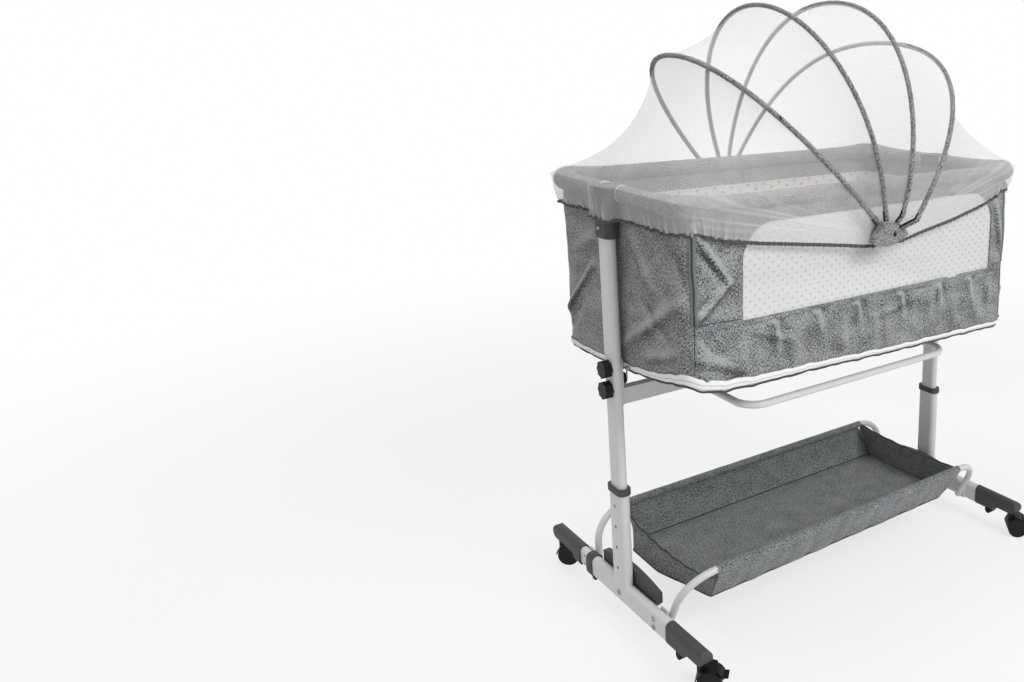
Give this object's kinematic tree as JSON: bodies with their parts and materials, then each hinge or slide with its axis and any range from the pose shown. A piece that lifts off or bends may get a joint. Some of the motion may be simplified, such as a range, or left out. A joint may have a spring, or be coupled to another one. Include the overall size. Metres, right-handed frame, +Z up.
{
  "type": "bedside sleeper crib",
  "caption": "Bedside sleeper crib: a rounded fabric bassinet on height-adjustable legs with swivel casters, a storage basket and a folding hooped net.",
  "frame": {"origin": "on the floor, at the middle of the crib between its four swivel axes", "axes": "+X along the crib towards the head end, -Y out of the open front side that stands beside the bed, +Z up"},
  "size_m": [1.0347, 0.6986, 1.326],
  "materials": {
    "tube_grey": "satin light warm grey paint",
    "rim_steel": "satin grey paint under the padding",
    "dark_plastic": "moulded, fine grain",
    "black_plastic": "moulded, fine grain",
    "tread": "smooth hard tread",
    "stop_rubber": "plain",
    "bolt_steel": "zinc plated",
    "grey_cloth": "grey melange woven cloth",
    "star_cloth": "cream cloth with small grey-brown stars",
    "white_mesh": "fine knitted mesh",
    "hoop_rod": "glass-fibre rod in a grey cloth sleeve",
    "board": "pressed board"
  },
  "bodies": {
    "base": {"base_bar_left": "tube_grey", "base_bar_right": "tube_grey", "outer_leg_left": "tube_grey", "outer_leg_right": "tube_grey", "leg_collars": "dark_plastic", "front_end_cap_left": "dark_plastic", "front_end_cap_right": "dark_plastic", "foot_nubs": "stop_rubber", "extension_collars": "dark_plastic", "basket_tube_front": "tube_grey", "basket_fabric": "grey_cloth", "frame_bolts": "bolt_steel"},
    "rear_foot": {"extension_tube_left": "tube_grey", "extension_tube_right": "tube_grey", "rear_end_cap_left": "dark_plastic", "rear_end_cap_right": "dark_plastic", "basket_tube_rear": "tube_grey"},
    "bassinet": {"inner_leg_left": "tube_grey", "inner_leg_right": "tube_grey", "leg_head_left": "dark_plastic", "leg_head_right": "dark_plastic", "support_arms": "tube_grey", "support_loop": "tube_grey", "rail_front": "rim_steel", "rail_rear": "rim_steel", "rail_ends": "rim_steel", "rim_padding": "grey_cloth", "body_shell": "grey_cloth", "front_panel": "grey_cloth", "window_mesh": "white_mesh", "floor_board": "board", "mattress": "star_cloth", "canopy_hubs": "dark_plastic", "canopy_net": "white_mesh"},
    "rocker_left": {"rocker_left": "dark_plastic"},
    "leg_button_left": {"leg_button_left": "bolt_steel"},
    "extension_lock_left": {"extension_lock_left": "dark_plastic"},
    "rocker_right": {"rocker_right": "dark_plastic"},
    "leg_button_right": {"leg_button_right": "bolt_steel"},
    "extension_lock_right": {"extension_lock_right": "dark_plastic"},
    "caster_front_left_swivel": {"caster_front_left_hood": "black_plastic"},
    "caster_front_left_twin": {"caster_front_left_wheels": "tread"},
    "caster_front_left_lever": {"caster_front_left_brake": "black_plastic"},
    "caster_front_right_swivel": {"caster_front_right_hood": "black_plastic"},
    "caster_front_right_twin": {"caster_front_right_wheels": "tread"},
    "caster_front_right_lever": {"caster_front_right_brake": "black_plastic"},
    "caster_rear_left_swivel": {"caster_rear_left_hood": "black_plastic"},
    "caster_rear_left_twin": {"caster_rear_left_wheels": "tread"},
    "caster_rear_left_lever": {"caster_rear_left_brake": "black_plastic"},
    "caster_rear_right_swivel": {"caster_rear_right_hood": "black_plastic"},
    "caster_rear_right_twin": {"caster_rear_right_wheels": "tread"},
    "caster_rear_right_lever": {"caster_rear_right_brake": "black_plastic"},
    "upper_knob_left": {"upper_knob_left": "black_plastic"},
    "lower_knob_left": {"lower_knob_left": "black_plastic"},
    "upper_knob_right": {"upper_knob_right": "black_plastic"},
    "lower_knob_right": {"lower_knob_right": "black_plastic"},
    "hoop_4": {"hoop_4": "hoop_rod"},
    "hoop_3": {"hoop_3": "hoop_rod"},
    "hoop_2": {"hoop_2": "hoop_rod"},
    "hoop_1": {"hoop_1": "hoop_rod"}
  },
  "joints": [
    {"name": "height_slide", "type": "slide", "parent": "base", "child": "bassinet", "axis": [0, 0, 1], "range_m": [-0.147, 0]},
    {"name": "rear_foot_slide", "type": "slide", "parent": "base", "child": "rear_foot", "axis": [0, 1, 0], "range_m": [0, 0.06]},
    {"name": "rocker_left_flip", "type": "hinge", "parent": "base", "child": "rocker_left", "pos_m": [-0.4556, 0, 0.07], "axis": [1, 0, 0], "range_deg": [0, 180]},
    {"name": "leg_button_left_press", "type": "slide", "parent": "base", "child": "leg_button_left", "axis": [1, 0, 0], "range_m": [0, 0.003], "stiffness_N_per_m": 400},
    {"name": "extension_lock_left_press", "type": "slide", "parent": "base", "child": "extension_lock_left", "axis": [0, 0, 1], "range_m": [0, 0.002], "stiffness_N_per_m": 400},
    {"name": "rocker_right_flip", "type": "hinge", "parent": "base", "child": "rocker_right", "pos_m": [0.4556, 0, 0.07], "axis": [1, 0, 0], "range_deg": [0, 180]},
    {"name": "leg_button_right_press", "type": "slide", "parent": "base", "child": "leg_button_right", "axis": [-1, 0, 0], "range_m": [0, 0.003], "stiffness_N_per_m": 400},
    {"name": "extension_lock_right_press", "type": "slide", "parent": "base", "child": "extension_lock_right", "axis": [0, 0, 1], "range_m": [0, 0.002], "stiffness_N_per_m": 400},
    {"name": "caster_front_left_swivel_turn", "type": "hinge", "parent": "base", "child": "caster_front_left_swivel", "pos_m": [-0.476, -0.306, 0.06], "axis": [0, 0, 1], "continuous": true},
    {"name": "caster_front_left_roll", "type": "hinge", "parent": "caster_front_left_swivel", "child": "caster_front_left_twin", "pos_m": [-0.46317, -0.31715, 0.025], "axis": [0.6561, 0.7547, 0], "continuous": true},
    {"name": "caster_front_left_brake_press", "type": "hinge", "parent": "caster_front_left_swivel", "child": "caster_front_left_lever", "pos_m": [-0.45147, -0.32732, 0.0498], "axis": [0.6561, 0.7547, 0], "range_deg": [0, 5]},
    {"name": "caster_front_right_swivel_turn", "type": "hinge", "parent": "base", "child": "caster_front_right_swivel", "pos_m": [0.476, -0.306, 0.06], "axis": [0, 0, 1], "continuous": true},
    {"name": "caster_front_right_roll", "type": "hinge", "parent": "caster_front_right_swivel", "child": "caster_front_right_twin", "pos_m": [0.48883, -0.31715, 0.025], "axis": [0.6561, 0.7547, 0], "continuous": true},
    {"name": "caster_front_right_brake_press", "type": "hinge", "parent": "caster_front_right_swivel", "child": "caster_front_right_lever", "pos_m": [0.50053, -0.32732, 0.0498], "axis": [0.6561, 0.7547, 0], "range_deg": [0, 5]},
    {"name": "caster_rear_left_swivel_turn", "type": "hinge", "parent": "rear_foot", "child": "caster_rear_left_swivel", "pos_m": [-0.476, 0.306, 0.06], "axis": [0, 0, 1], "continuous": true},
    {"name": "caster_rear_left_roll", "type": "hinge", "parent": "caster_rear_left_swivel", "child": "caster_rear_left_twin", "pos_m": [-0.46317, 0.29485, 0.025], "axis": [0.6561, 0.7547, 0], "continuous": true},
    {"name": "caster_rear_left_brake_press", "type": "hinge", "parent": "caster_rear_left_swivel", "child": "caster_rear_left_lever", "pos_m": [-0.45147, 0.28468, 0.0498], "axis": [0.6561, 0.7547, 0], "range_deg": [0, 5]},
    {"name": "caster_rear_right_swivel_turn", "type": "hinge", "parent": "rear_foot", "child": "caster_rear_right_swivel", "pos_m": [0.476, 0.306, 0.06], "axis": [0, 0, 1], "continuous": true},
    {"name": "caster_rear_right_roll", "type": "hinge", "parent": "caster_rear_right_swivel", "child": "caster_rear_right_twin", "pos_m": [0.49197, 0.31181, 0.025], "axis": [-0.342, 0.9397, 0], "continuous": true},
    {"name": "caster_rear_right_brake_press", "type": "hinge", "parent": "caster_rear_right_swivel", "child": "caster_rear_right_lever", "pos_m": [0.50654, 0.31712, 0.0498], "axis": [-0.342, 0.9397, 0], "range_deg": [0, 5]},
    {"name": "upper_knob_left_turn", "type": "hinge", "parent": "bassinet", "child": "upper_knob_left", "pos_m": [-0.495, 0, 0.586], "axis": [1, 0, 0], "continuous": true},
    {"name": "lower_knob_left_turn", "type": "hinge", "parent": "bassinet", "child": "lower_knob_left", "pos_m": [-0.495, 0, 0.541], "axis": [1, 0, 0], "continuous": true},
    {"name": "upper_knob_right_turn", "type": "hinge", "parent": "bassinet", "child": "upper_knob_right", "pos_m": [0.495, 0, 0.586], "axis": [1, 0, 0], "continuous": true},
    {"name": "lower_knob_right_turn", "type": "hinge", "parent": "bassinet", "child": "lower_knob_right", "pos_m": [0.495, 0, 0.541], "axis": [1, 0, 0], "continuous": true},
    {"name": "hoop_4_fold", "type": "hinge", "parent": "bassinet", "child": "hoop_4", "pos_m": [0.022, 0, 0.846], "axis": [0, 1, 0], "range_deg": [0, 38.4], "deforming": ["canopy_net"]},
    {"name": "hoop_3_fold", "type": "hinge", "parent": "hoop_4", "child": "hoop_3", "pos_m": [0.022, 0, 0.846], "axis": [0, 1, 0], "range_deg": [0, 15.3], "deforming": ["canopy_net"]},
    {"name": "hoop_2_fold", "type": "hinge", "parent": "hoop_3", "child": "hoop_2", "pos_m": [0.022, 0, 0.846], "axis": [0, 1, 0], "range_deg": [0, 18.5], "deforming": ["canopy_net"]},
    {"name": "hoop_1_fold", "type": "hinge", "parent": "hoop_2", "child": "hoop_1", "pos_m": [0.022, 0, 0.846], "axis": [0, 1, 0], "range_deg": [0, 20.5], "deforming": ["canopy_net"]}
  ],
  "couplings": [
    {"joint": "hoop_3_fold", "follows": "hoop_4_fold", "ratio": 0.39583},
    {"joint": "hoop_2_fold", "follows": "hoop_4_fold", "ratio": 0.47917},
    {"joint": "hoop_1_fold", "follows": "hoop_4_fold", "ratio": 0.53125}
  ]
}
